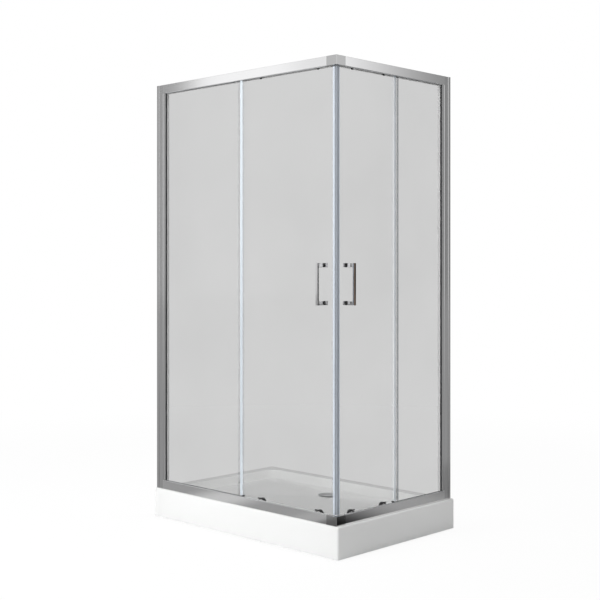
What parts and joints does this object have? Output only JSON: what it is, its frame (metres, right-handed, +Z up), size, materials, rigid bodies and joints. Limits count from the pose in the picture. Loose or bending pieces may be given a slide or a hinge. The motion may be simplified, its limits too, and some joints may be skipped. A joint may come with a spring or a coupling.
{
  "type": "shower enclosure",
  "caption": "Rectangular corner shower enclosure with sliding glass doors that meet at the corner, fixed panes, aluminium rails and posts, and a low acrylic tray with a waste.",
  "frame": {"origin": "on the floor, under the middle of the whole part's box", "axes": "+Z up, +X along the long side towards the corner where the doors meet, +Y towards the wall behind the short glazed side"},
  "size_m": [1.204, 0.812, 2.1],
  "materials": {
    "acrylic": "gloss",
    "board": "raw chipboard",
    "zinc_steel": "zinc plated",
    "black_plastic": "fine matt",
    "wheel_white": "smooth",
    "aluminium": "satin anodised",
    "glass": "clear toughened, 5 mm",
    "black_rubber": "matt",
    "clear_plastic": "clear to milky",
    "chrome": "bright",
    "silver_plastic": "silver lacquer",
    "white_plastic": "moulded"
  },
  "bodies": {
    "frame": {"shower_tray": "acrylic", "tray_support_board": "board", "tray_foot_rods": "zinc_steel", "tray_foot_nuts": "zinc_steel", "tray_foot_pads": "black_plastic", "waste_flange": "chrome", "waste_seal": "black_rubber", "waste_trap": "white_plastic", "corner_block_bottom": "silver_plastic", "corner_block_top": "silver_plastic", "wall_channel_front": "aluminium", "wall_post_front": "aluminium", "bottom_rail_front": "aluminium", "top_rail_front": "aluminium", "fixed_glass_front": "glass", "glazing_gaskets_front": "black_rubber", "fixed_edge_seal_front": "clear_plastic", "wall_channel_side": "aluminium", "wall_post_side": "aluminium", "bottom_rail_side": "aluminium", "top_rail_side": "aluminium", "fixed_glass_side": "glass", "glazing_gaskets_side": "black_rubber", "fixed_edge_seal_side": "clear_plastic", "seam_guides": "black_plastic", "door_buffers": "black_rubber", "frame_screws": "zinc_steel", "screw_caps": "silver_plastic"},
    "front_door": {"door_glass_front": "glass", "magnet_seal_front": "clear_plastic", "trailing_seal_front": "clear_plastic", "door_handle_front": "chrome", "handle_grommets_front": "black_plastic", "handle_knobs_front": "chrome", "upper_roller_hangers_front": "black_plastic", "lower_roller_housings_front": "black_plastic", "housing_screws_front": "chrome"},
    "side_door": {"door_glass_side": "glass", "magnet_seal_side": "clear_plastic", "trailing_seal_side": "clear_plastic", "door_handle_side": "chrome", "handle_grommets_side": "black_plastic", "handle_knobs_side": "chrome", "upper_roller_hangers_side": "black_plastic", "lower_roller_housings_side": "black_plastic", "housing_screws_side": "chrome"},
    "waste_insert": {"hair_strainer": "white_plastic", "waste_cover": "chrome"},
    "upper_wheel_front_lead": {"upper_wheel_front_lead": "wheel_white"},
    "lower_wheel_front_lead": {"lower_wheel_front_lead": "wheel_white"},
    "release_carrier_front_lead": {"release_carrier_front_lead": "black_plastic"},
    "upper_wheel_front_rear": {"upper_wheel_front_rear": "wheel_white"},
    "lower_wheel_front_rear": {"lower_wheel_front_rear": "wheel_white"},
    "release_carrier_front_rear": {"release_carrier_front_rear": "black_plastic"},
    "upper_wheel_side_lead": {"upper_wheel_side_lead": "wheel_white"},
    "lower_wheel_side_lead": {"lower_wheel_side_lead": "wheel_white"},
    "release_carrier_side_lead": {"release_carrier_side_lead": "black_plastic"},
    "upper_wheel_side_rear": {"upper_wheel_side_rear": "wheel_white"},
    "lower_wheel_side_rear": {"lower_wheel_side_rear": "wheel_white"},
    "release_carrier_side_rear": {"release_carrier_side_rear": "black_plastic"}
  },
  "joints": [
    {"name": "front_door_slide", "type": "slide", "parent": "frame", "child": "front_door", "axis": [-1, 0, 0], "range_m": [0, 0.47]},
    {"name": "side_door_slide", "type": "slide", "parent": "frame", "child": "side_door", "axis": [0, 1, 0], "range_m": [0, 0.275]},
    {"name": "waste_insert_lift", "type": "slide", "parent": "frame", "child": "waste_insert", "axis": [0, 0, 1], "range_m": [0, 0.06]},
    {"name": "upper_wheel_front_lead_spin", "type": "hinge", "parent": "front_door", "child": "upper_wheel_front_lead", "pos_m": [0.453, -0.3515, 2.081], "axis": [0, -1, 0], "range_deg": [0, 2365.2]},
    {"name": "release_carrier_front_lead_lift", "type": "slide", "parent": "front_door", "child": "release_carrier_front_lead", "axis": [0, 0, 1], "range_m": [0, 0.0022], "stiffness_N_per_m": 400, "springref_m": -0.001},
    {"name": "lower_wheel_front_lead_spin", "type": "hinge", "parent": "release_carrier_front_lead", "child": "lower_wheel_front_lead", "pos_m": [0.453, -0.3515, 0.168], "axis": [0, -1, 0], "range_deg": [0, 2365.2]},
    {"name": "upper_wheel_front_rear_spin", "type": "hinge", "parent": "front_door", "child": "upper_wheel_front_rear", "pos_m": [0.103, -0.3515, 2.081], "axis": [0, -1, 0], "range_deg": [0, 2365.2]},
    {"name": "release_carrier_front_rear_lift", "type": "slide", "parent": "front_door", "child": "release_carrier_front_rear", "axis": [0, 0, 1], "range_m": [0, 0.0022], "stiffness_N_per_m": 400, "springref_m": -0.001},
    {"name": "lower_wheel_front_rear_spin", "type": "hinge", "parent": "release_carrier_front_rear", "child": "lower_wheel_front_rear", "pos_m": [0.103, -0.3515, 0.168], "axis": [0, -1, 0], "range_deg": [0, 2365.2]},
    {"name": "upper_wheel_side_lead_spin", "type": "hinge", "parent": "side_door", "child": "upper_wheel_side_lead", "pos_m": [0.5475, -0.257, 2.081], "axis": [-1, 0, 0], "range_deg": [0, 1385.1]},
    {"name": "release_carrier_side_lead_lift", "type": "slide", "parent": "side_door", "child": "release_carrier_side_lead", "axis": [0, 0, 1], "range_m": [0, 0.0022], "stiffness_N_per_m": 400, "springref_m": -0.001},
    {"name": "lower_wheel_side_lead_spin", "type": "hinge", "parent": "release_carrier_side_lead", "child": "lower_wheel_side_lead", "pos_m": [0.5475, -0.257, 0.168], "axis": [-1, 0, 0], "range_deg": [0, 1385.1]},
    {"name": "upper_wheel_side_rear_spin", "type": "hinge", "parent": "side_door", "child": "upper_wheel_side_rear", "pos_m": [0.5475, -0.047, 2.081], "axis": [-1, 0, 0], "range_deg": [0, 1385.1]},
    {"name": "release_carrier_side_rear_lift", "type": "slide", "parent": "side_door", "child": "release_carrier_side_rear", "axis": [0, 0, 1], "range_m": [0, 0.0022], "stiffness_N_per_m": 400, "springref_m": -0.001},
    {"name": "lower_wheel_side_rear_spin", "type": "hinge", "parent": "release_carrier_side_rear", "child": "lower_wheel_side_rear", "pos_m": [0.5475, -0.047, 0.168], "axis": [-1, 0, 0], "range_deg": [0, 1385.1]}
  ],
  "couplings": [
    {"joint": "upper_wheel_front_lead_spin", "follows": "front_door_slide", "rad_per_m": 87.719},
    {"joint": "lower_wheel_front_lead_spin", "follows": "front_door_slide", "rad_per_m": 87.719},
    {"joint": "upper_wheel_front_rear_spin", "follows": "front_door_slide", "rad_per_m": 87.719},
    {"joint": "lower_wheel_front_rear_spin", "follows": "front_door_slide", "rad_per_m": 87.719},
    {"joint": "upper_wheel_side_lead_spin", "follows": "side_door_slide", "rad_per_m": 87.719},
    {"joint": "lower_wheel_side_lead_spin", "follows": "side_door_slide", "rad_per_m": 87.719},
    {"joint": "upper_wheel_side_rear_spin", "follows": "side_door_slide", "rad_per_m": 87.719},
    {"joint": "lower_wheel_side_rear_spin", "follows": "side_door_slide", "rad_per_m": 87.719}
  ]
}
